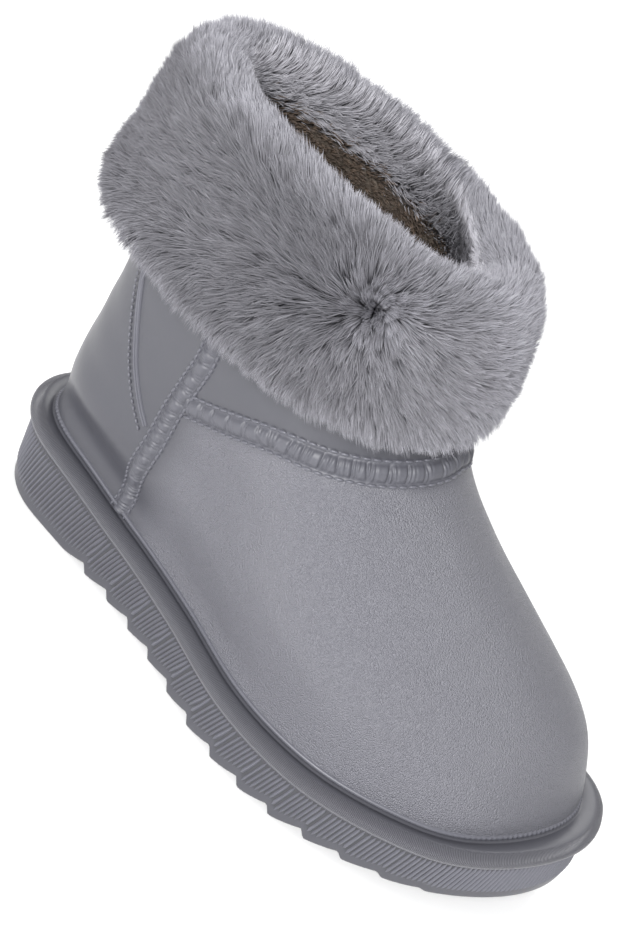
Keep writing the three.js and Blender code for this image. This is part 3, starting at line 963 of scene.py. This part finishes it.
def placePelt(angle, row):
    along = np.linspace(0, 1, cuff["rows"])
    points, brown = np.empty((len(angle), 3)), np.ones(len(angle))
    for k in range(peltRows + 1):
        at = row == k
        if k < len(along) or k == peltRows:
            spot = np.full(at.sum(), along[k % peltRows])
            points[at] = cuffPoint(angle[at], spot, False)
            brown[at] = brownShare(spot)
        else:
            down, out = (cuff["collarSide"][key][k - len(along)] for key in ("down", "out"))
            points[at] = shaftPoint(angle[at], np.full(at.sum(), float(down)), np.full(at.sum(), out))
            brown[at] = 0 if k < peltRows - 3 else 1
    return points, {"brown": brown}, angle / tau


def peltMaterial():
    shade = Shade("pelt")
    mottle = shade.noise(260, 4, 0.7)
    slate = shade.mix(mottle, (0.05, 0.049, 0.054, 1), (0.12, 0.118, 0.13, 1))
    earth = shade.mix(mottle, (0.03, 0.024, 0.019, 1), (0.17, 0.14, 0.115, 1))
    shade.set(Base_Color=shade.mix(shade.attribute("brown"), slate, earth), Roughness=0.95,
              Specular_IOR_Level=0.1, Normal=shade.bump(mottle, 0.002))
    return shade.material


def furMaterial(name, root, tip):
    # the piece's own map: u is the strand's tone (on the cuff painted shade with random tone, elsewhere
    # random tone), v runs from root to tip
    shade = Shade(name)
    tone, up = shade.mapAxis("OFBake", 0), shade.mapAxis("OFBake", 1)
    # the strand is painted darker towards its root: painted shade deep in the pile
    rise = (up * up * 0.55 + up * 0.45).clamp()
    base = shade.mix(rise, (*root, 1), (*tip, 1))
    # deep: a painted shade colour, mixed in by the tone
    deep = shade.mix(rise, (*root, 1), gray(0.10, (1, 0.985, 1.10)))
    shade.set(Base_Color=shade.mix(tone * 0.85, base, deep), Roughness=0.62, Specular_IOR_Level=0.28)
    return shade.material


def strandMesh(name, root, middle, tip, across, tone):
    # ribbons that taper to a point: a face from root to middle and a pointed one to the tip
    count = len(root)
    points = np.stack([root - across, root + across, middle + across * 0.9, middle - across * 0.9, tip],
                      axis=1)
    corners = (np.array([0, 1, 2, 3, 3, 2, 4])[None] + np.arange(count)[:, None] * 5).reshape(-1)
    starts = (np.array([0, 4])[None] + np.arange(count)[:, None] * 7).reshape(-1)
    mesh = polygonMesh(name, toFrame(points.reshape(-1, 3)), corners, starts)
    layer = mesh.uv_layers.new(name="OFBake")
    left = np.floor(tone * (fur["tones"] - 1)) / fur["tones"]
    u = left[:, None] + np.array([0, 1, 1, 0, 0, 1, 0.5])[None] / fur["tones"]
    v = np.broadcast_to(np.array([0, 0, 0.5, 0.5, 0.5, 0.5, 1.0]), u.shape)
    layer.data.foreach_set("uv", np.stack([u, v], -1).reshape(-1))
    return mesh


def pileDirection(angle, along):
    # lay of the pile as shares along the turn of the collar and along the section
    turn = (angle - fur["whorl"]["angle"] + np.pi) % tau - np.pi
    dx, dy = turn * cuffReach, (along - fur["whorl"]["along"]) * sectionLength
    away = np.hypot(dx, dy) + 1e-3
    medial = steps(-np.sin(angle), -0.6, 0.5)
    inner = 1 - steps(along, 0.34, 0.40)
    baseTurn = -medial * (inner * 0.95 + 0.1) + (1 - medial) * inner * 0.3
    baseRise = 0.85 * (1 - inner) + inner * (0.3 * medial - 0.3 * (1 - medial))
    near = np.cos(turn / 2) ** 2
    radial = steps(near, 0.08, 0.5) * (1 - inner * 0.8)
    layTurn = radial * dx / away + (1 - radial) * baseTurn
    layRise = radial * dy / away + (1 - radial) * baseRise
    layRise = layRise + steps(along, 0.84, 0.97) * 1.6
    size = np.hypot(layTurn, layRise) + 1e-6
    lean = steps(away, 0, fur["whorl"]["calm"]) * 0.88 + 0.12
    return layTurn / size, layRise / size, lean * np.clip(size, 0.35, 1), np.exp(-away / 14)


def pileNoise(angle, along, own, waves):
    # slow random swell over the pelt, seamless round the collar
    total = np.zeros(len(angle))
    for _ in range(9):
        k, m = own.integers(1, waves), own.uniform(1, waves) * 0.35
        total += np.sin(k * angle + own.uniform(0, 6.3)) * np.sin(m * along * 6.3 + own.uniform(0, 6.3))
    return total / 3


def makeStrands(count, own):
    angle = own.uniform(0, tau, count * 2)
    along = own.uniform(0.015, 1, count * 2)
    here, beside = cuffPoint(angle, along, True), cuffPoint(angle + 0.02, along, True)
    span = np.linalg.norm(beside - here, axis=1)
    keep = np.flatnonzero(own.uniform(0, span.max(), count * 2) < span)[:count]
    # more of them at the whorl, where they all lean away from one point
    whorl = fur["whorl"]
    more = own.normal(0, whorl["spread"], (2, int(whorl["extra"] * count / fur["strands"])))
    return (np.concatenate([angle[keep], (whorl["angle"] + more[0] / cuffReach) % tau]),
            np.concatenate([along[keep], whorl["along"] + more[1] / sectionLength]))


def paintedPileShade(angle, along):
    # painted shade: the pile is painted darkest over the outer side of the flap and deep inside the
    # collar, where less light falls, and palest on crest and edge, where it catches the light
    outer = steps(np.sin(angle), 0.15, 0.6) * (1 - 0.4 * steps(-np.cos(angle), 0.3, 0.9))
    flap = outer * steps(along, 0.50, 0.62) * (1 - 0.6 * steps(along, 0.84, 0.97))
    inside = steps(-along, -0.42, -0.30) * (1 - steps(-np.cos(angle), 0.35, 0.85))
    return flap + 0.35 * inside


def strandTip(angle, along, swirl, length):
    # the tip lies on the pile's face, leaning over along it; at the flap's edge it hangs down
    layTurn, layRise, lean, centre = pileDirection(angle, along)
    swirl = swirl * (1 + 0.8 * centre)  # the whorl's middle is unruly
    c, s = np.cos(swirl), np.sin(swirl)
    reach = lean * fur["lay"] * length
    onTurn = (layTurn * c - layRise * s) * reach / cuffReach
    onRise = (layTurn * s + layRise * c) * reach / sectionLength
    fringe = steps(along, 0.78, 0.92)
    face = np.clip(along + onRise * (1 - fringe), 0.0, 1.0)
    hang = fringe * (np.maximum(onRise, 0) * sectionLength * 0.8 + fur["fringe"] * length)
    return angle + onTurn, face, hang


def makeFur():
    own = np.random.default_rng(fur["seed"])
    quick = 1.0
    angle, along = makeStrands(int(fur["strands"] * quick), own)
    kept = (brownShare(along) < 0.5) | (own.uniform(0, 1, len(angle)) < fur["plushKept"])
    angle, along = angle[kept], along[kept]
    # clumps: the pelt in cells, each with its own centre, lean and length
    columns, rows = int(tau * cuffReach / fur["clump"]), int(sectionLength / fur["clump"])
    cell = np.floor(angle / tau * columns).astype(int), np.floor(along * rows).astype(int)
    cells = (columns + 1, rows + 1)
    jitter = [part[cell] + 0.5 for part in own.uniform(-0.45, 0.45, (2, *cells))]
    clumpAngle = (cell[0] + jitter[0]) / columns * tau
    clumpAlong = np.clip((cell[1] + jitter[1]) / rows, 0.01, 1)
    cellLong, cellTurn = own.normal(0, 1, cells)[cell], own.normal(0, 0.2, cells)[cell]
    slow = pileNoise(angle, along, own, 20)
    swirl = cellTurn + 0.32 * pileNoise(angle, along, own, 16)
    plush = brownShare(along)
    length = (1 + 0.05 * cellLong + 0.05 * slow) * (1 - 0.6 * plush)
    loose = own.normal(0, 1, len(angle))

    root = cuffPoint(angle, along, False)
    free = strandTip(angle, along, swirl + own.normal(0, 0.16, len(angle)), length)
    wisp = strandTip(clumpAngle, clumpAlong, swirl, length)
    pull = own.uniform(0.1, 0.55, len(angle)) * (1 - 0.5 * plush)
    tipAngle, tipAlong, hang = (a + (b - a) * pull for a, b in zip(free, wisp))
    top = cuffPoint(tipAngle, tipAlong, True, hang)
    under = cuffPoint(tipAngle, tipAlong, False, hang)
    depth = np.clip(0.97 + 0.05 * slow + 0.045 * cellLong + 0.055 * loose - 0.6 * plush, 0.2, 1.3)
    tip = under + (top - under) * depth[:, None]
    halfA, halfL = angle + (tipAngle - angle) * 0.36, along + (tipAlong - along) * 0.36
    halfTop, halfUnder = (cuffPoint(halfA, halfL, pile, hang * 0.3) for pile in (True, False))
    middle = halfUnder + (halfTop - halfUnder) * (depth * 0.7)[:, None]
    # the ribbon faces out, give or take
    stem = unit(tip - root)
    side = unit(np.cross(stem, unit(top - under)))
    twist = own.normal(0, 0.6, len(angle))
    side = side * np.cos(twist)[:, None] + np.cross(stem, side) * np.sin(twist)[:, None]
    across = side * (fur["halfWidth"] * own.uniform(0.65, 1.3, len(angle)))[:, None]
    # tone: painted shade from paintedPileShade with random tone per clump and strand, and less painted
    # shade at the whorl's middle
    tone = 0.10 + 0.88 * paintedPileShade(angle, along) + 0.1 * cellLong + own.normal(0, 0.14, len(angle))
    tone = np.clip(tone - pileDirection(angle, along)[3] ** 3, 0, 0.999)
    brown = along + own.normal(0, 0.012, len(along)) < sum(cuff["brownFrom"]) / 2
    inside, flap, outer = along < 0.40, along >= 0.62, np.sin(angle) >= 0
    for name, at, pile, slot in (
            ("furInside", ~brown & inside, "innerPilePaintedLight", "fur"),
            ("furCrest", ~brown & ~inside & ~flap, "furPile", "fur"),
            ("furFlapOuter", ~brown & flap & outer, "furPile", "fur"),
            ("furFlapInner", ~brown & flap & ~outer, "furPile", "fur"),
            ("plushUnderCuff", brown, "plushPile", "plush")):
        mesh = strandMesh(name, root[at], middle[at], tip[at], across[at], tone[at])
        meshObject(name, mesh, piles[pile], ["fur_cuff"])
        print(name, "made,", len(mesh.polygons) // 2, "strands")


peltRows = cuff["rows"] + len(cuff["collarSide"]["down"])
peltMesh = gridMesh("cuffPelt", cuff["columns"], peltRows, placePelt)
meshObject("cuffPelt", peltMesh, peltMaterial(), ["fur_cuff"])
piles = {name: furMaterial(name, *colors) for name, colors in fur["colors"].items()}
makeFur()

# plush lining on the inside walls, and the footbed
lining = {
    "columns": 150, "rows": 40,
    "level": (0.35, 7.3),  # from the footbed to behind the cuff
    "back": 0.25, "thick": 1.6,  # behind it the wall, and its own cloth
    "strands": 14000, "pile": 3.4, "halfWidth": 0.3,
}
footbed = {
    "columns": 200, "rows": 26, "thick": 5.0, "edge": 1.9, "strands": 9000, "pile": 2.8,
    # its section, from the middle of the underside round the edge to the middle on top
    "row":   [0, 3, 4, 5, 6, 7, 8, 26],
    "share": [0, 0.735, 0.982, 0.994, 0.994, 0.982, 1, 0],
    "lift":  [0, 0, 0, 1.2, 3.6, 4.6, 5, 5],
}


def plushMaterial():
    # knitted ground of the plush, with tufts in the bump
    shade = Shade("plushGround")
    tufts = shade.noise(520, 4, 0.7)
    patch = shade.noise(60, 3, 0.6)
    shade.set(Base_Color=shade.mix((tufts * 0.7 + patch * 0.5 - 0.1).clamp(),
                                   (0.034, 0.027, 0.021, 1), (0.20, 0.165, 0.135, 1)),
              Roughness=0.95, Specular_IOR_Level=0.1, Normal=shade.bump(tufts, 0.0015))
    return shade.material


def liningPoint(angle, level, deep):
    # this far inside the upper's wall
    point, _, _, normal = upperFrame(angle, level)
    return point - normal * (last["wall"] + deep)[:, None], normal


def placeLining(angle, row):
    # a closed cloth: up the face that is seen, and back down against the wall
    half, end = lining["rows"], 2 * lining["rows"] + 1
    share = np.where(row <= half, row, end - row) / half
    low, high = lining["level"]
    deep = lining["back"] + lining["thick"] * ((row <= half) | (row == end))
    return liningPoint(angle, low + (high - low) * share, deep)[0], {}, arcOf(angle)


def shortPile(name, root, normal, own, length, replaced=()):
    # short curled strands, each leaning its own way
    wild = unit(own.normal(0, 1, root.shape))
    way = unit(normal * 0.75 + wild * 0.6)
    size = length * own.uniform(0.6, 1.15, len(root))[:, None]
    tip = root + way * size + unit(np.cross(wild, normal)) * size * 0.25
    middle = root + normal * size * 0.5 + wild * size * 0.12
    side = unit(np.cross(way, wild)) * lining["halfWidth"]
    tone = own.uniform(0, 0.999, len(root))
    mesh = strandMesh(name, root, middle, tip, side, tone)
    meshObject(name, mesh, piles["plushPile"], replaced)


def makeLining(ground):
    own = np.random.default_rng(21)
    mesh = gridMesh("plushLining", lining["columns"], 2 * lining["rows"] + 1, placeLining)
    meshObject("plushLining", mesh, ground)
    count = lining["strands"]
    angle = own.uniform(0, tau, count)
    level = own.uniform(0.5, lining["level"][1], count)
    root, normal = liningPoint(angle, level, np.full(count, lining["back"] + lining["thick"] - 0.2))
    shortPile("liningPile", root, -normal, own, lining["pile"])


def bedPoint(angle, share, lift):
    # over the footbed: share 0 at its middle line, 1 at its edge; dished, most of all at the heel
    ring = footRing(angle, aboveInset, last["wall"] + footbed["edge"], 0.3)
    x = ring[:, 0]
    middle = middleLine(x)
    y = middle + (ring[:, 1] - middle) * share
    cup = 1.1 * share ** 2.5 * (1 - 0.6 * steps(x, 60, 150))
    return np.stack([x, y, ring[:, 2] + lift + cup * (lift > 1)], -1)


def placeBed(angle, row):
    share, lift = (np.interp(row, footbed["row"], footbed[key]) for key in ("share", "lift"))
    return bedPoint(angle, share, lift), {}, arcOf(angle)


def makeFootbed(ground):
    own = np.random.default_rng(22)
    mesh = gridMesh("footbed", footbed["columns"], footbed["rows"], placeBed)
    meshObject("footbed", mesh, ground, ["insole"])
    count = footbed["strands"]
    angle = own.uniform(0, tau, count)
    share = np.sqrt(own.uniform(0, 1, count)) * 0.97
    root = bedPoint(angle, share, np.full(count, footbed["thick"] - 0.15))
    up = np.tile([0.0, 0.0, 1.0], (count, 1))
    shortPile("footbedPile", root, up, own, footbed["pile"], ["insole"])


plushGround = plushMaterial()
makeLining(plushGround)
makeFootbed(plushGround)
print("lining and footbed made")
